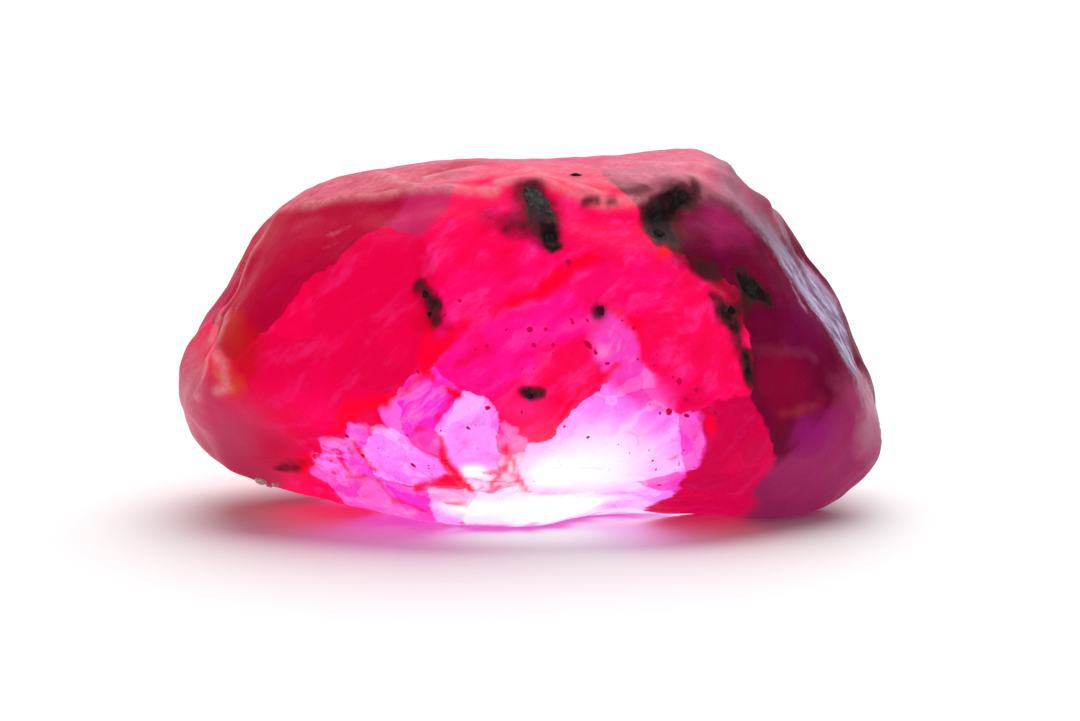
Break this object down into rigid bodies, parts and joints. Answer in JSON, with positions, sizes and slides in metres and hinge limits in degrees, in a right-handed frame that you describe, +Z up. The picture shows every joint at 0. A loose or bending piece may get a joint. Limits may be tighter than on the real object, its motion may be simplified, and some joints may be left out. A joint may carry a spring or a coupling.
{
  "type": "raw ruby crystal",
  "caption": "Raw ruby, a water-worn oblong pebble of rough red corundum with a nearly level top, a rounded nose and a blunt end.",
  "frame": {"origin": "under the middle of the stone's bounding box, on the surface that the stone rests on", "axes": "+X along the stone's length towards its blunt end, +Z up, -Y out of the side that shows best"},
  "size_m": [0.028, 0.0196, 0.0144],
  "materials": {
    "ruby": "water-worn, half-matt, see-through red with violet, pink and dark zones"
  },
  "bodies": {
    "root": {"ruby_crystal": "ruby"}
  },
  "joints": []
}
